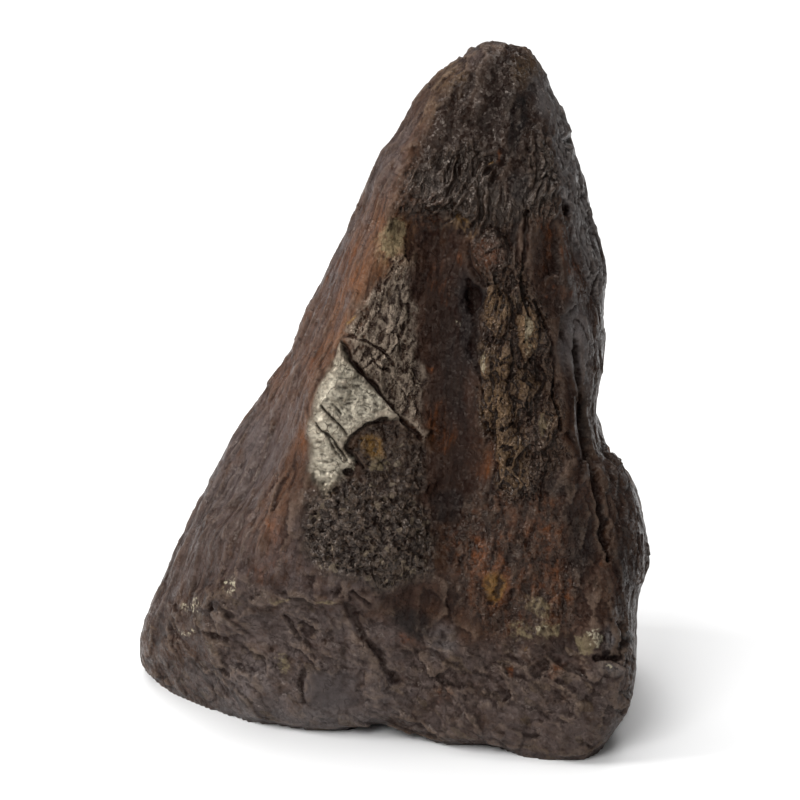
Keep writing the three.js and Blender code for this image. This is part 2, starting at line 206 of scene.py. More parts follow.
# Cracks: name, line, reach in pixels, depth in metres. Pits: name, place, size, tilt, depth in metres
FLAKE_CRACK = [(341, 342), (352, 362), (365, 379), (382, 398), (406, 421), (421, 437)]
FLAKE_STEP = [(386, 418), (371, 424), (360, 430), (350, 440), (347, 448), (355, 459), (363, 468)]
CRACKS = [
    ("flake crack", FLAKE_CRACK, 5, 1.3 * MM),
    ("flake step", FLAKE_STEP, 4, 1.1 * MM),
    ("flake split a", [(322, 405), (334, 420), (348, 436)], 2.6, 0.6 * MM),
    ("flake split b", [(318, 422), (329, 440), (341, 458)], 2.6, 0.6 * MM),
    ("flake split c", [(324, 431), (336, 444), (347, 459)], 3.2, 0.8 * MM),
    ("flake split d", [(346, 444), (354, 456), (361, 465)], 3.4, 0.9 * MM),
    ("flake split e", [(330, 402), (341, 414)], 1.8, 0.3 * MM),
    ("crumple crack a", [(345, 336), (366, 340), (384, 350), (396, 366)], 3, 0.6 * MM),
    ("crumple crack b", [(370, 352), (380, 366), (392, 372)], 3, 0.5 * MM),
    ("slab crack", [(575, 340), (579, 380), (585, 420), (600, 500), (608, 560)], 6, 1.8 * MM),
    ("rib crack", [(526, 214), (527, 245), (521, 272), (528, 317)], 4, 1.2 * MM),
    ("rib seam", [(536, 300), (548, 330), (556, 360), (552, 390), (562, 430)], 3.4, 1.0 * MM),
    ("valley seam", [(468, 282), (473, 318), (470, 350), (482, 384), (486, 430)], 4, 1.0 * MM),
    ("egg seam", [(468, 240), (470, 268), (480, 286), (498, 282)], 3.4, 0.8 * MM),
    ("skirt gash", [(346, 606), (356, 618), (362, 636), (378, 652), (384, 670), (398, 684)], 8, 0.8 * MM),
    ("skirt slit a", [(203, 632), (215, 637), (227, 641)], 4, 0.7 * MM),
    ("skirt slit b", [(284, 618), (292, 628), (300, 640)], 4, 0.8 * MM),
    ("skirt slit c", [(352, 594), (362, 600), (370, 604)], 3.4, 0.7 * MM),
    ("hollow slot", [(625, 624), (627, 640), (622, 655)], 7, 1.8 * MM),
    ("hollow ledge", [(622, 656), (611, 660), (598, 659)], 6, 1.3 * MM),
    ("patch edge", [(302, 672), (301, 686), (303, 702)], 4, 0.6 * MM),
]
PITS = [
    ("deep pit", (472, 303), (11, 32), 8, 0.9 * MM),
    ("flake pit", (346, 472), (14, 12), 0, 0.9 * MM),
    ("rim notch", (567, 208), (12, 24), -12, 1.4 * MM),
    ("rim pit a", (570, 141), (11, 12), 0, 0.9 * MM),
    ("rim pit b", (556, 82), (9, 16), 0, 0.9 * MM),
    ("facet pit", (407, 175), (12, 14), 0, 0.5 * MM),
    ("corner pit", (166, 690), (24, 12), 10, 0.9 * MM),
]

# Colour marks: place, size, tilt in degrees, strength
RUST = [
    ((346, 275), (70, 120), 24, 0.45), ((385, 275), (50, 70), 20, 0.55), ((372, 205), (30, 60), 20, 0.3),
    ((300, 450), (40, 120), 24, 0.3), ((495, 588), (60, 80), 0, 1.0), ((512, 516), (30, 60), 6, 0.6),
    ((545, 555), (30, 70), -6, 0.6), ((478, 560), (40, 110), 4, 0.7), ((430, 415), (56, 50), 0, 0.45),
    ((488, 462), (44, 80), 4, 0.5), ((500, 565), (30, 50), 0, 0.9), ((425, 208), (90, 60), 0, 0.45),
    ((548, 216), (60, 50), 0, 0.45), ((470, 140), (80, 70), 0, 0.2), ((560, 293), (30, 24), 20, 0.9),
    ((560, 262), (60, 60), 0, 0.45), ((300, 350), (90, 160), 24, 0.35), ((270, 540), (90, 70), 0, 0.4),
    ((425, 367), (14, 18), 0, 0.8), ((447, 428), (60, 70), 0, 0.45), ((440, 280), (44, 80), 0, 0.4),
    ((497, 155), (12, 22), -10, 0.9), ((555, 232), (44, 40), 0, 0.5), ((458, 258), (14, 26), 0, 0.7),
    ((490, 251), (44, 60), 0, 0.5), ((500, 304), (40, 60), 0, 0.35), ((405, 640), (34, 34), 0, 0.5),
    ((425, 667), (10, 10), 0, 0.8), ((508, 672), (16, 22), 0, 0.9), ((560, 670), (26, 34), 0, 0.6),
    ((440, 700), (44, 40), 0, 0.4), ((255, 575), (50, 34), 0, 0.4), ((590, 566), (40, 60), 0, 0.4),
]
OCHRE = [
    ((392, 300), (18, 30), 20, 0.5), ((374, 446), (44, 40), 0, 1.0), ((495, 588), (40, 54), 0, 0.9),
    ((462, 218), (26, 12), 0, 0.8), ((490, 163), (8, 8), 0, 0.9), ((351, 320), (7, 12), 20, 1.0),
    ((487, 240), (6, 6), 0, 1.0), ((372, 407), (8, 8), 0, 1.0), ((523, 647), (12, 10), 0, 0.8),
]
CRUST = [
    ((378, 462), (34, 30), 0, 0.8), ((536, 606), (60, 42), 0, 0.7), ((545, 628), (54, 38), 0, 0.65),
    ((521, 632), (40, 30), 0, 0.65), ((586, 645), (30, 40), 0, 0.9), ((393, 238), (46, 70), 10, 0.8),
    ((193, 610), (54, 34), -30, 0.45), ((228, 588), (54, 30), -40, 0.45), ((184, 630), (54, 26), -10, 0.4),
    ((281, 599), (36, 12), 0, 0.8), ((325, 600), (34, 12), 5, 0.8), ((286, 663), (26, 26), 0, 0.7),
    ((527, 330), (18, 46), 0, 0.9), ((485, 360), (20, 30), 0, 0.8), ((542, 425), (14, 34), 10, 0.8),
    ((520, 300), (30, 24), 0, 0.5),
]
GOLD = [
    ((497, 307), (44, 70), -6, 0.75), ((527, 333), (34, 80), 0, 1.0), ((494, 364), (46, 60), 0, 0.8),
    ((498, 406), (46, 80), -8, 0.8), ((508, 454), (46, 80), -4, 0.7), ((525, 386), (40, 44), 0, 0.6),
    ((548, 425), (24, 50), 15, 0.3), ((462, 226), (40, 24), 0, 0.6), ((452, 76), (50, 60), 30, 0.25),
    ((530, 70), (40, 40), 0, 0.25), ((430, 110), (30, 60), 30, 0.2), ((394, 250), (48, 80), 12, 0.7),
    ((512, 470), (50, 60), 0, 0.6),
]
# Painted glints: bright specks painted into the colour where the stone's bright grains catch the light.
CRYSTALS = [
    ((527, 326), (18, 50), 0, 1.0), ((530, 352), (20, 44), 10, 0.7), ((486, 362), (16, 34), 0, 0.9),
    ((594, 640), (18, 30), 0, 0.9), ((604, 668), (10, 12), 0, 0.7), ((195, 608), (34, 22), -30, 0.75),
    ((229, 587), (38, 20), -50, 0.75), ((186, 630), (40, 14), 0, 0.65), ((400, 276), (10, 30), 20, 0.7),
    ((402, 312), (12, 40), 5, 0.7), ((456, 322), (12, 26), -30, 0.6), ((539, 610), (30, 16), 0, 0.6),
    ((536, 626), (24, 14), 0, 0.6), ((544, 148), (10, 14), 0, 0.6), ((548, 420), (8, 30), 10, 0.6),
    ((560, 500), (10, 20), 0, 0.5), ((350, 466), (50, 16), 20, 0.5), ((324, 470), (30, 40), 0, 0.5),
]
# Ash-grey marks: grey slabs and planes, and a painted sheen along the skirt's lower edge.
ASHEN = [
    ((578, 345), (46, 110), -8, 0.6), ((542, 96), (30, 60), -20, 0.5), ((609, 641), (24, 36), 10, 0.7),
    ((610, 669), (34, 18), 0, 0.6), ((440, 640), (40, 50), 30, 0.4), ((225, 688), (170, 70), 8, 0.15),
    ((320, 722), (200, 40), 6, 0.3),
]
# Black marks: the smear below the tip and other near-black patches, and painted shade in the pits, the
# cracks, the notch at lower right and along the rib's left edge.
SOOT = [
    ((516, 120), (36, 110), 2, 1.0), ((518, 190), (26, 70), 0, 0.8), ((518, 230), (18, 50), 0, 0.7),
    ((566, 208), (12, 22), -12, 1.0), ((474, 300), (16, 34), 0, 1.0), ((627, 638), (14, 34), 14, 0.9),
    ((609, 657), (30, 12), 18, 0.8), ((455, 372), (44, 220), -4, 0.55), ((468, 322), (44, 200), -4, 0.75),
    ((446, 505), (50, 60), 20, 0.7), ((580, 540), (60, 150), -6, 0.65), ((560, 486), (40, 50), 0, 0.6),
    ((405, 650), (60, 50), 20, 0.4), ((624, 560), (40, 160), -4, 0.55), ((416, 622), (76, 50), 8, 0.75),
    ((588, 420), (10, 90), -10, 0.9), ((602, 520), (10, 80), -8, 0.8), ((512, 518), (50, 56), 0, 0.5),
    ((490, 110), (70, 110), 10, 0.5),
]
PALE = [
    ((310, 565), (260, 150), 0, 0.7), ((480, 62), (80, 50), 0, 0.5), ((392, 290), (60, 120), 10, 0.45),
]

# How much of each area goes into a mask or into the relief
GRAINY = {"boss": 1, "recess": 0.7}
EVEN = {"valley": 1, "slabs": 1, "skirt": 0.7, "left flank": 0.6}
GRAIN = {"grainy": 1, "rib": 0.3, "crumpled": 0.5, "hackly break": 0.4, "rusty slope": 0.3}
WET = {
    "hackly break": 1, "rib": 0.9, "crumpled": 0.7, "upper facet": 0.5, "grainy": 0.9, "egg": 0.8,
    "rusty slope": 0.4, "rim facet": 0.6, "slabs": 0.3, "right flank": 0.3, "valley": 0.1, "left flank": 0.2,
    "rough back": 0.7, "skirt": 0.25,
}
CRINKLED = {
    "rib": 1, "crumpled": 0.8, "flake": 0.2, "egg": 0.7, "hackly break": 0.3, "grainy": 0.4,
    "rough back": 0.4, "rusty slope": 0.3,
}
DARK = {
    "valley": 1, "upper facet": 1, "hackly break": 0.9, "right flank": 0.6, "grainy": 0.6, "egg": 0.75,
    "rusty slope": 0.55, "slabs": 0.65,
}
MATTE = {"valley": 0.3, "skirt": 0.4}
UNSTREAKED = {
    "skirt": 1, "boss": 1, "recess": 1, "rib": 0.7, "crumpled": 1, "egg": 1, "rusty slope": 0.6,
    "upper facet": 0.6,
}
CALM = {
    "left flank": 0.5, "valley": 0.1, "skirt": 0.15, "slabs": 0.5, "smooth patch": 1, "even back": 0.4,
    "hackly break": 0.65, "grainy": 0.2, "rib": 0.7, "crumpled": 0.6, "egg": 0.5, "flake": 0.5,
}
# The first: areas where the painted shade in hollows is weaker. The second: areas where paler raised edges,
# wear and painted highlight, are weaker.
UNSUNK = {"left flank": 0.5, "behind": 0.6}
UNWORN = {
    "valley edge": 1, "valley": 1, "slabs": 0.8, "upper facet": 0.6, "hackly break": 0.7, "right flank": 0.6,
    "egg": 0.5, "rusty slope": 0.6, "left flank": 0.5, "grainy": 0.5,
}

# Painted shade in hollows and paler raised edges: how many rounds of neighbours a place is set against, and
# the depths where it begins and is full
WEAR_ROUNDS = 8
WEAR_DEPTHS = (0.02 * MM, 0.22 * MM)
FINE_ROUNDS = 2
FINE_DEPTHS = (0.004 * MM, 0.06 * MM)


def select_only(piece):
    """Selects one object and makes it the active one."""
    bpy.ops.object.select_all(action="DESELECT")
    piece.select_set(True)
    bpy.context.view_layer.objects.active = piece


def in_edit_mode(piece, chosen, *steps):
    """Selects the chosen faces, True for all, and runs edit mode steps on them."""
    select_only(piece)
    bpy.context.tool_settings.mesh_select_mode = (False, False, True)
    bpy.ops.object.mode_set(mode="EDIT")
    bpy.ops.mesh.select_all(action="SELECT" if chosen is True else "DESELECT")
    if chosen is not True:
        bpy.ops.object.mode_set(mode="OBJECT")
        piece.data.polygons.foreach_set("select", chosen)
        bpy.ops.object.mode_set(mode="EDIT")
    for step in steps:
        step()
    bpy.ops.object.mode_set(mode="OBJECT")


def apply_modifier(piece, kind, **settings):
    """Adds a modifier, sets it up and applies it."""
    select_only(piece)
    bpy.ops.object.modifier_add(type=kind)
    modifier = piece.modifiers[-1]
    for key, value in settings.items():
        setattr(modifier, key, value)
    bpy.ops.object.modifier_apply(modifier=modifier.name)


def vectors(items, key):
    """The x, y, z of many vertices or faces as rows."""
    rows = np.empty(len(items) * 3)
    items.foreach_get(key, rows)
    return rows.reshape(-1, 3)


# Places in the picture


def pixels_of(points):
    """Where points are seen in the photograph's frame."""
    aside = points - np.array(AIM)
    nearer = VIEW_DISTANCE / (VIEW_DISTANCE - aside @ np.array(TO_VIEWER))
    across = aside[:, 0] * nearer
    up = aside @ np.array(SIGHT_UP) * nearer
    return PICTURE / 2 + PIXELS_PER_METRE * np.stack([across, -up], axis=1)


def soft(values, low, high):
    """A smooth step from 0 at low to 1 at high."""
    t = np.clip((values - low) / (high - low), 0, 1)
    return t * t * (3 - 2 * t)


def distance_to_line(px, line):
    """The distance in pixels to a line of points."""
    nearest = np.full(len(px), np.inf)
    for a, b in zip(line, line[1:]):
        a = np.array(a, float)
        step = np.array(b, float) - a
        t = np.clip((px - a) @ step / (step @ step), 0, 1)
        nearest = np.minimum(nearest, np.linalg.norm(px - a - t[:, None] * step, axis=1))
    return nearest


def patch(px, corners, feather):
    """1 inside an area, fading to 0 across its edge."""
    inside = np.zeros(len(px), bool)
    for (ax, ay), (bx, by) in zip(corners, corners[1:] + corners[:1]):
        crosses = (ay > px[:, 1]) != (by > px[:, 1])
        edge_x = ax + (bx - ax) * (px[:, 1] - ay) / ((by - ay) or 1)
        inside ^= crosses & (px[:, 0] < edge_x)
    off = distance_to_line(px, corners + corners[:1])
    return soft(np.where(inside, off, -off), -feather, feather)


def in_oval(px, at, size, tilt):
    """Places counted from the middle of an oval, in halves of its width and of its height."""
    turn = math.radians(tilt)
    du, dv = (px - np.array(at, float)).T
    a = (du * math.cos(turn) + dv * math.sin(turn)) / (size[0] / 2)
    b = (dv * math.cos(turn) - du * math.sin(turn)) / (size[1] / 2)
    return a, b


def blot(px, at, size, tilt):
    """1 in the middle of an oval, fading to 0 at its edge."""
    return 1 - soft(np.hypot(*in_oval(px, at, size, tilt)), BLOT_CORE, 1)


def blots(px, marks):
    """The strongest of several blots."""
    total = np.zeros(len(px))
    for at, size, tilt, strength in marks:
        total = np.maximum(total, strength * blot(px, at, size, tilt))
    return total


def dome(px, at, size, tilt):
    """1 on top of a low knob, falling to 0 at its edge."""
    a, b = in_oval(px, at, size, tilt)
    return np.clip(1 - a * a - b * b, 0, 1)


def groove(px, line, reach, uneven):
    """A crack's depth across a line, 0 to 1, with a width that wanders."""
    width = reach * np.clip(0.75 + 0.9 * uneven, 0.35, 1.4)
    return 1 - soft(distance_to_line(px, line) / width, 0.1, 1)


# Shapes of the relief


def noise_rows(points, size):
    """Smooth noise vectors at points, with lumps of a given size."""
    return np.array([noise.noise_vector(Vector(p) / size) for p in points])


def fibres_of(points):
    """Coordinates that run with the stone's taper, so that what is drawn out follows its sides."""
    share = points[:, 2:] / STONE_HEIGHT
    narrowing = 1 - FIBRE_TAPER * share
    across = (points[:, :2] - share * np.array(TIP_OFFSET)) / narrowing
    return np.hstack([across, points[:, 2:]])


def slanted(points):
    """Coordinates turned about the depth, so that flakes drawn out along the first run down to the right."""
    x, y, z = points.T
    c, s = math.cos(SKIRT_SLANT), math.sin(SKIRT_SLANT)
    return np.stack([x * c - z * s, y, x * s + z * c], axis=1)


def lump(place):
    """Rounded swells and hollows."""
    return noise.noise(place)


def chip(place):
    """A hackly break: every cell is a flat that is tilted its own way."""
    cell = noise.voronoi(place)[1][0]
    tilt = noise.cell_vector(cell) - CELL_MIDDLE
    return (place - cell).dot(tilt) + CHIP_STEP * tilt.x


def crevice(place):
    """A narrow crack that winds."""
    return -max(0, 1 - abs(noise.noise(place)) / CREVICE_WIDTH)


def ridge(place):
    """Sharp crests between rounded troughs."""
    return 1 - 2 * abs(noise.noise(place)) - abs(noise.noise(place * FINER_CRESTS))


def relief(shape, coordinates, size, weights, slope):
    """Heights of a shape in cells of a size in millimetres along the three axes, where the weights are.
    The slope of its flats, seen across the cells, sets how high it stands."""
    heights = np.zeros(len(coordinates))
    chosen = np.nonzero(weights > LEAST_WEIGHT)[0]
    rows = coordinates[chosen] / np.array(size) / MM
    heights[chosen] = [shape(Vector(row)) for row in rows]
    return heights * weights * slope * size[0] * MM


# The stone's mesh


def bare_stone():
    """The frame's stone, remeshed evenly and worn smooth, on a flat foot."""
    stone = bpy.data.objects.new("meteorite_stone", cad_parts["meteorite"].data.copy())
    bpy.context.scene.collection.objects.link(stone)
    stone.data.materials.clear()
    in_edit_mode(stone, True, lambda: bpy.ops.mesh.remove_doubles(threshold=MERGE_WITHIN))
    apply_modifier(stone, "REMESH", mode="VOXEL", voxel_size=VOXEL, use_smooth_shade=True)
    apply_modifier(stone, "SMOOTH", factor=SMOOTHING_SHARE, iterations=SMOOTHING_ROUNDS)
    low = vectors(stone.data.polygons, "center")[:, 2] < FOOT_BAND
    in_edit_mode(
        stone,
        low,
        lambda: bpy.ops.transform.resize(value=(1, 1, 0), center_override=(0, 0, 0)),
        lambda: bpy.ops.mesh.dissolve_faces(),
    )
    return stone


def refine(stone):
    """Divides the best side once more, and its broken places twice."""
    facing = vectors(stone.data.polygons, "normal") @ np.array(TO_VIEWER)
    in_edit_mode(stone, facing > FRONT_FACING, lambda: bpy.ops.mesh.subdivide(number_cuts=1))
    facing = vectors(stone.data.polygons, "normal") @ np.array(TO_VIEWER)
    px = pixels_of(vectors(stone.data.polygons, "center"))
    broken = np.zeros(len(px), bool)
    for corners in BROKEN:
        broken |= patch(px, corners, BROKEN_FEATHER) > BROKEN_SHARE
    in_edit_mode(stone, broken & (facing > FRONT_FACING), lambda: bpy.ops.mesh.subdivide(number_cuts=1))


def most_of(areas, shares):
    """The strongest of several areas, each at its share."""
    return np.maximum.reduce([share * areas[name] for name, share in shares.items()])


def areas_of(stone):
    """Weights of the areas on the stone's vertices, with edges that wander, and the coordinates that the
    relief and the masks are laid out in."""
    points = vectors(stone.data.vertices, "co")
    facing = vectors(stone.data.vertex_normals, "vector") @ np.array(TO_VIEWER)
    true_px = pixels_of(points)
    wander = sum(noise_rows(points, size)[:, :2] * shift for size, shift in WANDER)
    px = true_px + wander
    edge_px = true_px + wander * 0.25
    front = soft(facing, *FRONT_FADE)
    areas = {"front": front, "px": px, "true_px": true_px, "wander": wander, "points": points}
    areas["fibres"] = fibres_of(points)
    areas["slanted"] = slanted(points + noise_rows(points, 3 * MM) * 0.7 * MM)
    areas["free"] = soft(points[:, 2], *FOOT_FREE)
    for name, corners, feather in AREAS:
        areas[name] = patch(px, corners, feather) * front
    areas["valley"] *= soft(px[:, 1], *VALLEY_TOP)
    areas["valley edge"] = blot(px, *VALLEY_EDGE)
    areas["egg"] = soft(dome(true_px + wander * 0.4, *EGG), 0, 0.3) * front
    areas["rib"] *= 1 - areas["egg"]
    areas["grainy"] = most_of(areas, GRAINY)
    areas["smooth patch"] = patch(edge_px, SMOOTH_PATCH, 4) * (1 - soft(px[:, 0], 330, 372)) * front
    areas["from crack"] = distance_to_line(edge_px, FLAKE_CRACK + FLAKE_STEP[::-1])
    sharp = 1 - soft(areas["from crack"], 8, 26)
    clean_edge = patch(edge_px, FLAKE, 2.2)
    worn_edge = patch(edge_px + wander * 0.3, FLAKE, 7)
    areas["flake"] = (clean_edge * sharp + worn_edge * (1 - sharp)) * front
    areas["zones"] = noise_rows(points, ZONE_SIZE)
    areas["behind"] = 1 - front
    areas["away"] = soft(-facing, *AWAY_FADE)
    areas["rough back"] = areas["away"] * soft(areas["zones"][:, 0], -0.12, 0.15)
    areas["even back"] = areas["behind"] - areas["rough back"]
    areas["knobs"] = np.zeros(len(points))
    for at, size, tilt, height in KNOBS:
        knob = height * dome(true_px + wander * 0.8, at, size, tilt) * front
        areas["knobs"] = np.maximum(areas["knobs"], knob)
    return areas


def layers_of(areas):
    """The relief's layers: shape, coordinates, cell size in millimetres, weights and slope."""
    points, fibres, slant = areas["points"], areas["fibres"], areas["slanted"]
    flake, skirt, rib, crumpled = areas["flake"], areas["skirt"], areas["rib"], areas["crumpled"]
    left_flank, right_flank, slabs = areas["left flank"], areas["right flank"], areas["slabs"]
    patches = noise_rows(points, 11 * MM)
    bent = fibres + noise_rows(points, 5 * MM) * 1.5 * MM
    swirled = bent + noise_rows(points, 9 * MM) * 5 * MM
    grainy = np.maximum(areas["boss"], areas["recess"])
    grains = grainy * (0.7 + 0.3 * areas["boss"])
    roughness = 0.55 + 0.45 * soft(patches[:, 0], -0.3, 0.4)
    hackly = (1 - flake) * (1 - 0.8 * most_of(areas, EVEN)) * (1 - grainy) * roughness
    hacked = areas["hackly break"] * (1 - 0.7 * blots(areas["px"], SOOT))
    flaking = skirt * (1 - 0.6 * areas["smooth patch"]) * (0.25 + 0.75 * soft(patches[:, 1], -0.1, 0.35))
    split = soft(patches[:, 2], 0.0, 0.3)
    return [
        # The whole stone
        (lump, fibres, (9, 9, 16), 1 - flake, 0.10),
        (chip, fibres, (5, 5, 9), hackly, 0.20),
        (chip, fibres, (2.1, 2.1, 3.6), hackly * (1 - 0.6 * areas["upper facet"]), 0.13),
        # The left flank and the valley
        (ridge, fibres, (5, 5, 38), left_flank, 0.10),
        (ridge, fibres, (2.2, 2.2, 13), 0.7 * left_flank + 0.4 * areas["valley"], 0.14),
        (chip, bent, (7, 7, 16), left_flank, 0.09),
        # The hackly break below the tip
        (lump, swirled, (3.4, 3.4, 6), hacked, 0.22),
        (lump, swirled, (1.5, 1.5, 2.6), hacked, 0.80),
        (chip, swirled, (1.4, 1.4, 2.4), hacked, 0.55),
        # The boss, the recess above it and the egg
        (lump, points, (1.5, 1.5, 1.5), grains, 0.55),
        (chip, points, (1.5, 1.5, 1.5), grains, 0.75),
        (lump, points, (1.3, 1.3, 1.3), areas["egg"], 0.35),
        # The rib and the crumpled patch
        (lump, bent, (3.6, 3.6, 6), rib, 0.22),
        (chip, bent, (3.2, 3.2, 5), rib + 0.6 * crumpled, 0.50),
        (ridge, bent, (1.6, 1.6, 2.2), rib + 0.6 * crumpled, 0.18),
        (chip, bent, (1.7, 1.7, 2.2), 0.8 * rib + 0.7 * crumpled, 0.40),
        (lump, bent, (2.4, 2.4, 3), crumpled, 0.42),
        # The rusty slope
        (chip, bent, (2.6, 2.6, 6), areas["rusty slope"], 0.30),
        (ridge, bent, (1.5, 1.5, 5), areas["rusty slope"], 0.14),
        # The right side
        (chip, fibres, (7, 7, 17), np.maximum(0.4 * right_flank, slabs), 0.35),
        (chip, bent, (1.8, 1.8, 6), areas["rim facet"], 0.40),
        # The skirt
        (chip, slant, (9, 5, 4), flaking, 0.16),
        (chip, slant, (3.4, 2.2, 1.5), flaking, 0.14),
        (chip, slant, (1.6, 1.4, 1), flaking, 0.14),
        # The far side
        (chip, bent, (6, 6, 10), areas["rough back"], 0.40),
        (chip, bent, (2.8, 2.8, 4.4), areas["rough back"], 0.45),
        (ridge, fibres, (6, 6, 34), areas["even back"], 0.06),
        (chip, bent, (10, 10, 17), areas["away"], 0.16),
        # Winding cracks
        (crevice, bent, (17, 17, 34), areas["behind"] * split, 0.05),
        (crevice, bent, (8, 8, 13), 0.6 * right_flank + 0.4 * slabs, 0.07),
        (crevice, slant, (14, 8, 7), flaking * split, 0.04),
        # The flake
        (chip, points, (1.7, 1.7, 1.2), flake, 0.16),
        (ridge, points, (3, 3, 2), flake, 0.10),
    ]


def carve(stone, areas):
    """The relief of the surface, from broad lumps to cracks."""
    heights = sum(relief(*layer) for layer in layers_of(areas))
    lift = areas["flake"] * (1 - 0.7 * soft(areas["from crack"], 4, 60))
    gaps = areas["rib"] * (1 - soft(areas["knobs"], 0, KNOB_FOOT))
    heights += areas["knobs"] - RIB_GAP * gaps + (FLAKE_LIFT * lift - RECESS_DEPTH * areas["recess"]) * MM
    px = areas["true_px"] + 0.35 * areas["wander"]
    uneven = noise_rows(areas["points"], 3 * MM)[:, 0]
    for _, line, reach, height in LIPS:
        lip = 1 - soft(distance_to_line(areas["px"], line), 0.1 * reach, reach)
        heights += height * areas["front"] * lip * np.clip(0.8 + 0.8 * uneven, 0, 1.5)
    cracks = np.zeros(len(px))
    for _, line, reach, depth in CRACKS:
        cracks = np.maximum(cracks, depth * groove(px, line, reach, uneven))
    for _, at, size, tilt, depth in PITS:
        cracks = np.maximum(cracks, depth * blot(px, at, size, tilt))
    displace(stone, kept_inside(stone, (heights - cracks * areas["front"]) * areas["free"]))


def kept_inside(stone, heights):
    """Heights that leave the surface inside the frame's box."""
    normals = vectors(stone.data.vertex_normals, "vector")
    ends = vectors(stone.data.vertices, "co") + normals * heights[:, None]
    over = np.maximum(ends - np.array(CAD_BOX[1]), np.array(CAD_BOX[0]) - ends)
    over = np.maximum(over[:, :2].max(axis=1), ends[:, 2] - CAD_BOX[1].z)
    return heights - np.maximum(over, 0)


def displace(stone, heights):
    """Moves the surface along its normals by heights, outwards and then inwards."""
    for name, sign in (("outwards", 1), ("inwards", -1)):
        part = np.maximum(sign * heights, 0)
        group = stone.vertex_groups.new(name=name)
        levels = np.round(part / part.max() * WEIGHT_LEVELS).astype(int)
        for level in np.unique(levels[levels > 0]):
            members = np.nonzero(levels == level)[0]
            group.add(members.tolist(), level / WEIGHT_LEVELS, "REPLACE")
    for name, sign in (("outwards", 1), ("inwards", -1)):
        most = np.maximum(sign * heights, 0).max()
        apply_modifier(stone, "DISPLACE", vertex_group=name, strength=sign * most, mid_level=0)
    stone.vertex_groups.clear()


def thin_out(stone):
    """Takes triangles from the flatter places until the stone has few enough."""
    count = sum(len(face.vertices) - 2 for face in stone.data.polygons)
    apply_modifier(stone, "DECIMATE", decimate_type="COLLAPSE", ratio=MOST_TRIANGLES / count)


# The masks that the material reads


def mark(stone, name, values):
    """Stores a mask on the stone's vertices for its material."""
    attribute = stone.data.attributes.new(name, "FLOAT", "POINT")
    attribute.data.foreach_set("value", np.clip(values, 0, 1).astype(np.float32))


def mark_vectors(stone, name, rows):
    """Stores coordinates in millimetres on the stone's vertices for its material."""
    attribute = stone.data.attributes.new(name, "FLOAT_VECTOR", "POINT")
    attribute.data.foreach_set("vector", (rows / MM).astype(np.float32).ravel())


def hollowness(stone, rounds):
    """How far each vertex lies below the mean of those around it, less than 0 where it stands above."""
    points = vectors(stone.data.vertices, "co")
    normals = vectors(stone.data.vertex_normals, "vector")
    edges = np.empty(len(stone.data.edges) * 2, int)
    stone.data.edges.foreach_get("vertices", edges)
    a, b = edges.reshape(-1, 2).T
    count = np.bincount(np.concatenate([a, b]), minlength=len(points))[:, None]
    mean = points.copy()
    for _ in range(rounds):
        total = np.zeros_like(mean)
        np.add.at(total, a, mean[b])
        np.add.at(total, b, mean[a])
        mean = total / count
    return np.einsum("ij,ij->i", mean - points, normals)


def mark_stains(stone, areas):
    """Where rust, crust, black smears with painted shade, gold, painted glints and ash-grey patches with
    painted sheen lie.
    """
    px, front, behind = areas["px"], areas["front"], areas["behind"]
    drift = noise_rows(areas["points"], DRIFT_SIZE)
    rust = np.maximum(blots(px, RUST), 0.5 * areas["rusty slope"])
    mark(stone, "rust", rust * front + behind * soft(drift[:, 0], 0.05, 0.45) * 0.65)
    mark(stone, "ochre", blots(px, OCHRE) * front)
    mark(stone, "crust", blots(px, CRUST) * front + behind * soft(drift[:, 1], 0.35, 0.7) * 0.25)
    mark(stone, "soot", blots(px, SOOT) * front + behind * soft(drift[:, 2], 0.3, 0.7) * 0.7)
    mark(stone, "golden", blots(px, GOLD) * front + areas["rough back"] * 0.3 * soft(drift[:, 1], 0.1, 0.4))
    mark(stone, "crystal", blots(px, CRYSTALS) * front)
    # The rim facet and the ash-grey marks: grey stone and painted sheen.
    mark(stone, "ashen", np.maximum(areas["rim facet"], blots(px, ASHEN) * front))


def mark_tones(stone, areas):
    """How light, dark or warm each place is painted; on the left flank and the skirt the lightness is
    painted sheen and painted light.
    """
    px, front, behind, zones = areas["px"], areas["front"], areas["behind"], areas["zones"]
    across, down = px.T
    # Painted light and painted sheen: the skirt is painted paler at its front and lower edge and darker at
    # its left, and the left flank's paleness is a painted sheen that fades towards the bottom.
    skirt_pale = 0.15 + 0.75 * soft(across, 190, 260) - 0.5 * soft(across, 370, 440)
    skirt_pale = skirt_pale * (0.7 + 0.5 * soft(down, 640, 715))
    flank_pale = 0.8 - 0.45 * soft(down, 480, 560)
    mark(stone, "pale", np.maximum.reduce([
        blots(px, PALE) * front,
        flank_pale * areas["left flank"],
        skirt_pale * areas["skirt"],
        behind * (0.15 + 0.75 * soft(zones[:, 1], -0.1, 0.25)),
    ]))
    mark(stone, "dark", np.maximum(most_of(areas, DARK), behind * 0.5 * soft(zones[:, 2], 0.05, 0.35)))
    warm = (0.35 + 0.65 * blot(px, *WARMEST)) * areas["orange band"] + 0.2 * areas["crumpled"]
    warm = warm + 0.4 * blot(px, *WARM_FLANK) * front
    mark(stone, "warm", warm + 0.5 * behind * soft(zones[:, 0], 0.1, 0.35))
    mark(stone, "flake", areas["flake"])
    mark(stone, "plate", areas["flake"] * (0.3 + 0.7 * soft(down, 352, 392)))
    mark(stone, "silvery", areas["crumpled"])
    mark(stone, "slate", areas["smooth patch"])


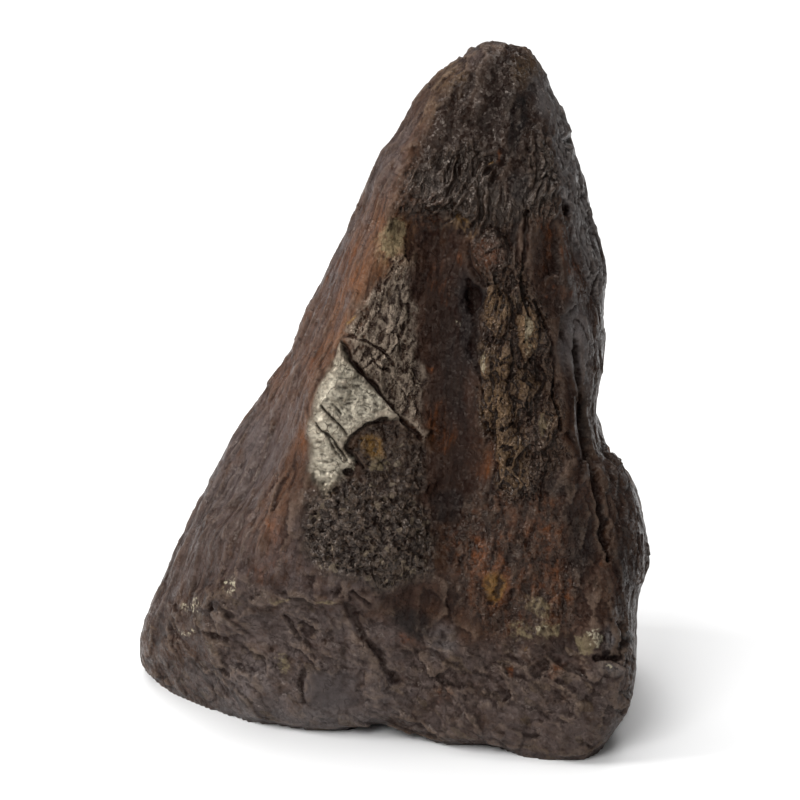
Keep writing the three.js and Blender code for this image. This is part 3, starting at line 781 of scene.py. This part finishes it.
def mark_finish(stone, areas):
    """How the stone's finish runs, and how grainy, wet, crinkled or matte it is."""
    mark_vectors(stone, "fibres", areas["fibres"])
    mark_vectors(stone, "slanted", areas["slanted"])
    mark(stone, "flaking", areas["skirt"] * (1 - areas["smooth patch"]) + 0.5 * areas["behind"])
    mark(stone, "grain", most_of(areas, GRAIN))
    mark(stone, "wet", most_of(areas, WET) * (1 - 0.6 * blots(areas["px"], SOOT)))
    mark(stone, "crinkled", most_of(areas, CRINKLED))
    mark(stone, "matte", most_of(areas, MATTE))
    mark(stone, "streaky", 1 - most_of(areas, UNSTREAKED))
    mark(stone, "rugged", 1 - most_of(areas, CALM))


def mark_wear(stone, areas):
    """Painted shade in hollows and fine crevices, and raised edges painted paler, partly for wear and partly
    as painted highlight.
    """
    sinks = 1 - most_of(areas, UNSUNK)
    wears = 1 - most_of(areas, UNWORN)
    depth = hollowness(stone, WEAR_ROUNDS)
    # Painted shade: hollows and fine crevices are darkened.
    mark(stone, "hollow", soft(depth, *WEAR_DEPTHS) * sinks)
    # Raised edges painted paler: wear and painted highlight.
    mark(stone, "worn", soft(-depth, *WEAR_DEPTHS) * wears)
    mark(stone, "sunk", soft(hollowness(stone, FINE_ROUNDS), *FINE_DEPTHS) * sinks)


# Materials


class Wire:
    """One output socket, with sums and products that add Math nodes."""

    def __init__(self, paint, socket):
        self.paint = paint
        self.socket = socket

    def __add__(self, other):
        return self.paint.math("ADD", self, other)

    def __sub__(self, other):
        return self.paint.math("SUBTRACT", self, other)

    def __rsub__(self, other):
        return self.paint.math("SUBTRACT", other, self)

    def __mul__(self, other):
        return self.paint.math("MULTIPLY", self, other)

    __radd__ = __add__
    __rmul__ = __mul__


class Paint:
    """A material that is built node by node."""

    def __init__(self, name):
        self.material = bpy.data.materials.new(name)
        self.material.use_nodes = True
        self.tree = self.material.node_tree
        self.tree.nodes.clear()

    def node(self, kind, settings=None, inputs=None):
        """Adds a node, sets it up and joins or fills its sockets."""
        node = self.tree.nodes.new(kind)
        for key, value in (settings or {}).items():
            setattr(node, key, value)
        for key, value in (inputs or {}).items():
            if isinstance(value, Wire):
                self.tree.links.new(value.socket, node.inputs[key])
            else:
                node.inputs[key].default_value = value
        return node

    def out(self, node, key=0):
        return Wire(self, node.outputs[key])

    def math(self, operation, a, b):
        return self.out(self.node("ShaderNodeMath", {"operation": operation}, {0: a, 1: b}))

    def vector(self, operation, a, b=(0, 0, 0), result="Vector", **inputs):
        node = self.node("ShaderNodeVectorMath", {"operation": operation}, {0: a, 1: b, **inputs})
        return self.out(node, result)

    def place(self):
        """Object coordinates in millimetres."""
        coordinates = self.out(self.node("ShaderNodeTexCoord"), "Object")
        return self.vector("SCALE", coordinates, Scale=1 / MM)

    def divide(self, place, size):
        """Coordinates counted in cells of a size along the three axes."""
        return self.vector("DIVIDE", place, size)

    def facets(self, place, size):
        """A hackly break, every cell a flat that is tilted its own way: its height in millimetres, and a
        number from 0 to 1 that is each cell's own."""
        cells = self.divide(place, size)
        voronoi = self.node("ShaderNodeTexVoronoi", {"feature": "F1"}, {"Vector": cells, "Scale": 1})
        middle, own = self.out(voronoi, "Position"), self.out(voronoi, "Color")
        tilt = self.vector("SUBTRACT", own, CELL_MIDDLE)
        height = self.vector("DOT_PRODUCT", self.vector("SUBTRACT", cells, middle), tilt, "Value")
        number = self.node("ShaderNodeTexWhiteNoise", {}, {"Vector": middle})
        return height * size[0], self.out(number, "Value")

    def noise(self, place, size, detail=3, roughness=0.55, distortion=0):
        """Smooth noise from 0 to 1, with lumps of a size in millimetres."""
        node = self.node("ShaderNodeTexNoise", {}, {
            "Vector": place,
            "Scale": 1 / size,
            "Detail": detail,
            "Roughness": roughness,
            "Distortion": distortion,
        })
        return self.out(node, "Fac")

    def from_middle(self, value):
        """How far a value from 0 to 1 lies from a half."""
        return self.math("ABSOLUTE", value - 0.5, 0)

    def step(self, value, low, high, start=0, end=1):
        """A smooth step of a value from start to end."""
        return self.out(self.node("ShaderNodeMapRange", {"interpolation_type": "SMOOTHSTEP"}, {
            "Value": value, "From Min": low, "From Max": high, "To Min": start, "To Max": end,
        }))

    def mask(self, name, result="Fac"):
        return self.out(self.node("ShaderNodeAttribute", {"attribute_name": name}), result)

    def mix(self, share, a, b, blend="MIX"):
        node = self.node("ShaderNodeMix", {"data_type": "RGBA", "blend_type": blend}, {0: share, 6: a, 7: b})
        return self.out(node, 2)


def rgb(red, green, blue):
    """A colour given in the 0 to 255 of a screen."""
    def linear(value):
        share = value / 255
        return share / 12.92 if share <= 0.04045 else ((share + 0.055) / 1.055) ** 2.4
    return (linear(red), linear(green), linear(blue), 1)


DEEP_BROWN = rgb(26, 14, 11)
BROWN = rgb(60, 41, 32)
UMBER = rgb(66, 43, 28)
PALE_BROWN = rgb(92, 76, 66)
# Lilac grey: paler tone and painted sheen.
LILAC_GREY = rgb(84, 75, 74)
ORANGE_BROWN = rgb(104, 70, 48)
RUST_RED = rgb(46, 24, 14)
RUST_ORANGE = rgb(118, 64, 24)
GOLDEN = rgb(138, 112, 80)
# The colour of painted glints.
CRYSTAL = rgb(182, 173, 150)
# Edge brown: raised edges painted paler, for wear and as painted highlight.
EDGE_BROWN = rgb(112, 95, 82)
OCHRE_YELLOW = rgb(126, 94, 44)
OLIVE_CRUST = rgb(122, 110, 84)
# Near black: dark grains, black smears and painted shade.
SOOT_BLACK = rgb(20, 17, 18)
GRAIN_GREY = rgb(78, 66, 55)
# Ash grey: grey stone and painted sheen.
ASH_GREY = rgb(106, 103, 104)
SLATE = rgb(64, 61, 63)
SKIRT_GREY = rgb(86, 77, 75)
FLAKE_BROWN = rgb(88, 73, 56)
PALE_GREY = rgb(158, 146, 132)
FLECK = rgb(112, 102, 89)
FLAKE_GREY = rgb(176, 168, 151)
FLAKE_DARK = rgb(96, 88, 75)

# The stone's gloss
SPECULAR_TINT = (1, 0.85, 0.73, 1)
DULL_SPECULAR = 0.12
WET_SPECULAR = 0.5
WET_SHADE = (0.6, 0.55, 0.5, 1)  # what a wet look takes from the colour
WET_POLISH = 0.25  # what it takes from the roughness
BUMP_DEPTH = 1.1 * MM  # how high one unit of the material's own relief stands

MASKS = [
    "rust", "ochre", "crust", "soot", "golden", "crystal", "ashen", "pale", "dark", "warm", "flake",
    "plate", "silvery", "slate", "flaking", "grain", "wet", "crinkled", "matte", "streaky", "rugged",
    "hollow", "worn", "sunk",
]


def stone_patterns(paint, area):
    """The noises and broken flats that the colours and the bump are made of."""
    place = paint.place()
    fibre = paint.mask("fibres", "Vector")
    look = SimpleNamespace()
    look.clouds = paint.noise(place, 14, detail=5)
    look.stains = paint.noise(fibre, 7, detail=6, roughness=0.6, distortion=0.6)
    look.mottle = paint.noise(place, 3.2, detail=6, roughness=0.65)
    look.grit = paint.noise(place, 1.3, detail=4, roughness=0.65, distortion=0.5)
    look.specks = paint.noise(place, 0.5, detail=3, roughness=0.7)
    streaks = paint.noise(paint.divide(fibre, (1, 1, 8)), 1.1, detail=5, roughness=0.6, distortion=0.4)
    look.fibres = look.grit + area.streaky * (streaks - look.grit)
    look.wrinkles = paint.noise(paint.divide(place, (2, 2, 1)), 1.1, roughness=0.5, distortion=0.4)
    look.broad, look.broad_own = paint.facets(fibre, (2.4, 2.4, 4.4))
    drawn, drawn_own = paint.facets(fibre, (1.0, 1.0, 2.1))
    rounded, rounded_own = paint.facets(place, (1.1, 1.1, 1.1))
    look.middle = rounded + area.streaky * (drawn - rounded)
    look.middle_own = rounded_own + paint.step(area.streaky, 0.4, 0.6) * (drawn_own - rounded_own)
    look.fine, look.fine_own = paint.facets(place, (0.55, 0.55, 0.55))
    look.shingle, look.shingle_own = paint.facets(paint.mask("slanted", "Vector"), (3.4, 2.2, 1.5))
    creases = paint.from_middle(paint.noise(place, 3.5, detail=2))
    look.clear = 1 - paint.step(creases, 0.02, 0.0) * paint.step(look.mottle, 0.45, 0.6)
    look.crests = 1 - 4 * paint.from_middle(paint.noise(fibre, 1.3, detail=2, distortion=0.3))
    return look


def stone_covers(paint, area, look):
    """How far rust, crust, gold and the like cover the stone, with painted shade, painted glints and painted
    highlight among them.
    """
    cover = SimpleNamespace()
    # Gold and silvery coats lie on crests and raised edges and stay out of hollows: the stone's own colour
    # laid out as painted highlight.
    gilding = look.mottle * 0.6 + look.crests * 0.5 + area.worn * 0.5 - area.hollow * 0.5
    cover.gilded = area.golden * paint.step(gilding, 0.3, 1.15)
    silvering = look.mottle * 0.7 + look.crests * 0.4 + area.worn * 0.6 - area.hollow * 0.4
    cover.silver = area.silvery * paint.step(silvering, 0.35, 1.1)
    rusting = area.rust * 0.8 + look.fibres * 0.6 + look.stains * 0.6 + look.mottle * 0.5
    cover.rusty = paint.step(rusting, 1.0, 1.65) * 0.9
    cover.yellowed = paint.step(area.ochre * 0.9 + look.specks * 0.5 + look.mottle * 0.4, 0.75, 1.4) * 0.8
    crusting = area.crust * 0.8 + look.specks * 0.6 + look.grit * 0.9 + look.mottle * 0.4
    cover.crusted = paint.step(crusting, 1.3, 1.6)
    # Black smears and painted shade.
    cover.sooty = paint.step(area.soot + look.fibres * 0.5, 0.5, 1.05)
    # Painted glints.
    cover.crystals = paint.step(area.crystal * 0.5 + look.grit * 1.1 + look.specks * 0.5, 1.12, 1.34) * 0.8
    bright = paint.step(look.middle_own + area.grain * 0.10, 1.0, 1.02)
    cover.fleck = bright * paint.step(area.grain, 0.45, 0.7) * (1 - area.hollow)
    return cover


def stone_colour(paint, area, look, cover):
    """The stone's colour, in coats that lie over each other."""
    tone = look.clouds * 0.5 + look.mottle * 0.5 + look.fibres * 0.3
    tone = tone + look.broad_own * 0.10 + look.middle_own * 0.10
    bleached = paint.step(look.fibres * 0.4 + look.mottle + look.broad_own * 0.2, 0.55, 1.0)
    greyed = paint.step(look.mottle + look.fibres * 0.5, 0.45, 0.9)
    grains = paint.mix(paint.step(look.middle_own + look.fine_own, 0.5, 1.5), SOOT_BLACK, GRAIN_GREY)
    glow = look.stains + look.fibres + look.specks * 0.3 + area.rust * 0.3
    rust = paint.mix(paint.step(glow, 1.1, 1.7), RUST_RED, RUST_ORANGE)
    shine = paint.step(look.wrinkles + look.specks * 0.2 + look.mottle * 0.5, 0.5, 1.05)
    foil = paint.mix(shine * look.clear, FLAKE_DARK, FLAKE_GREY)
    coats = [
        (paint.step(look.stains, 0.48, 0.68) * 0.7, UMBER),
        (paint.step(look.mottle + look.fine_own * 0.3, 0.72, 1.05) * 0.4, PALE_BROWN),
        # The lilac coat follows paler tone and also painted sheen and painted light, and so does the skirt's
        # grey below.
        (area.pale * bleached, LILAC_GREY),
        (area.flaking * area.pale * greyed * 0.7, SKIRT_GREY),
        (area.flaking * paint.step(look.shingle_own, 0.4, 0.0) * 0.3, DEEP_BROWN),
        (area.flaking * paint.step(look.shingle_own - look.stains * 0.6, 0.58, 0.68) * 0.4, FLAKE_BROWN),
        (area.slate * 0.6, SLATE),
        (area.dark * 0.75, DEEP_BROWN),
        (area.warm * paint.step(look.fibres + look.stains * 0.7, 0.6, 1.0, 0.15, 0.95), ORANGE_BROWN),
        (area.grain * 0.6, grains),
        (cover.gilded, GOLDEN),
        (area.ashen * paint.step(look.mottle, 0.3, 0.6, 0.4, 1), ASH_GREY),
        (cover.silver, PALE_GREY),
        (cover.rusty, rust),
        (cover.yellowed, OCHRE_YELLOW),
        (cover.crusted * 0.7, OLIVE_CRUST),
        # Black smears and painted shade.
        (cover.sooty * 0.9, SOOT_BLACK),
        (area.flake, FLAKE_DARK),
        (area.plate, foil),
        # Paler raised edges: wear and painted highlight.
        (area.worn * 0.4, EDGE_BROWN),
        # Painted shade in fine crevices.
        (area.sunk * 0.5, DEEP_BROWN),
        ((1 - look.clear) * (0.45 - 0.45 * area.crinkled), DEEP_BROWN),
        # Painted shade in hollows.
        (area.hollow * (0.8 - 0.3 * area.silvery - 0.3 * area.flaking), DEEP_BROWN),
        # Painted glints.
        (cover.crystals, CRYSTAL),
        (cover.fleck, FLECK),
    ]
    colour = paint.mix(paint.step(tone, 0.5, 0.95), DEEP_BROWN, BROWN)
    for share, coat in coats:
        colour = paint.mix(share, colour, coat)
    return colour


def stone_bump(paint, area, look):
    """The finest relief, which the mesh doesn't hold."""
    facets = 0.40 * look.broad + 0.60 * look.middle + 0.7 * look.fine
    height = area.rugged * facets + 0.10 * look.fibres + 0.10 * look.specks + 0.2 * look.mottle
    height = height + 0.12 * look.clear + area.flaking * (0.5 * look.shingle)
    height = height + area.pale * (0.06 * look.fibres) + area.crinkled * (0.55 * look.crests)
    bump = paint.node("ShaderNodeBump", {}, {"Height": height, "Distance": BUMP_DEPTH, "Strength": 1})
    return paint.out(bump)


def stone_paint():
    """Weathered stone: a dull and a wet finish of the same colours, mixed by how wet each place looks."""
    paint = Paint("weathered_stone")
    area = SimpleNamespace(**{name: paint.mask(name) for name in MASKS})
    look = stone_patterns(paint, area)
    cover = stone_covers(paint, area, look)
    colour = stone_colour(paint, area, look, cover)
    bump = stone_bump(paint, area, look)
    metal = area.flake * 0.6 + cover.fleck * 0.5 + cover.gilded * 0.5 + cover.silver * 0.3
    roughness = 0.38 + 0.24 * (look.middle_own - 0.5) + 0.12 * cover.rusty + 0.16 * cover.crusted
    roughness = roughness + 0.2 * area.matte + 0.1 * cover.gilded
    dull = paint.node("ShaderNodeBsdfPrincipled", {}, {
        "Base Color": colour,
        "Roughness": roughness,
        "Metallic": metal,
        "Normal": bump,
        "Specular IOR Level": DULL_SPECULAR,
        "Specular Tint": SPECULAR_TINT,
    })
    glossy = paint.node("ShaderNodeBsdfPrincipled", {}, {
        "Base Color": paint.mix(1, colour, WET_SHADE, "MULTIPLY"),
        "Roughness": roughness - WET_POLISH,
        "Metallic": metal,
        "Normal": bump,
        "Specular IOR Level": WET_SPECULAR,
        "Specular Tint": SPECULAR_TINT,
    })
    shader = paint.node("ShaderNodeMixShader", {}, {0: area.wet, 1: paint.out(dull), 2: paint.out(glossy)})
    paint.node("ShaderNodeOutputMaterial", {}, {"Surface": paint.out(shader)})
    return paint.material


def floor_paint():
    paint = Paint("pale_floor")
    finish = {"Base Color": FLOOR_WHITE, "Roughness": FLOOR_ROUGHNESS}
    shader = paint.node("ShaderNodeBsdfPrincipled", {}, finish)
    paint.node("ShaderNodeOutputMaterial", {}, {"Surface": paint.out(shader)})
    return paint.material


# The studio


def add_camera():
    bpy.ops.object.camera_add(location=AIM + TO_VIEWER * VIEW_DISTANCE)
    camera = bpy.context.object
    camera.rotation_euler = (-TO_VIEWER).to_track_quat("-Z", "Y").to_euler()
    camera.data.sensor_width = SENSOR
    camera.data.lens = SENSOR * VIEW_DISTANCE / PICTURE_SPAN
    bpy.context.scene.camera = camera


def add_light(name, place, side, power):
    bpy.ops.object.light_add(type="AREA", location=place)
    light = bpy.context.object
    light.name = name
    light.data.size = side
    light.data.energy = power
    light.rotation_euler = (AIM - Vector(place)).to_track_quat("-Z", "Y").to_euler()


def add_studio():
    bpy.ops.mesh.primitive_plane_add(size=FLOOR_SIDE)
    floor = bpy.context.object
    floor.name = "floor"
    floor.data.materials.append(floor_paint())
    world = bpy.data.worlds.new("pale_room")
    world.use_nodes = True
    background = world.node_tree.nodes["Background"]
    background.inputs["Color"].default_value = ROOM_WHITE
    background.inputs["Strength"].default_value = ROOM_STRENGTH
    bpy.context.scene.world = world
    for light in LIGHTS:
        add_light(*light)
    bpy.context.scene.view_settings.view_transform = "Standard"


add_camera()
add_studio()

stone = bare_stone()
refine(stone)
areas = areas_of(stone)
carve(stone, areas)
for mark_kind in (mark_stains, mark_tones, mark_finish, mark_wear):
    mark_kind(stone, areas)
thin_out(stone)
select_only(stone)
bpy.ops.object.shade_smooth()
stone.data.materials.append(stone_paint())
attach(stone, "root")
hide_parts("meteorite")
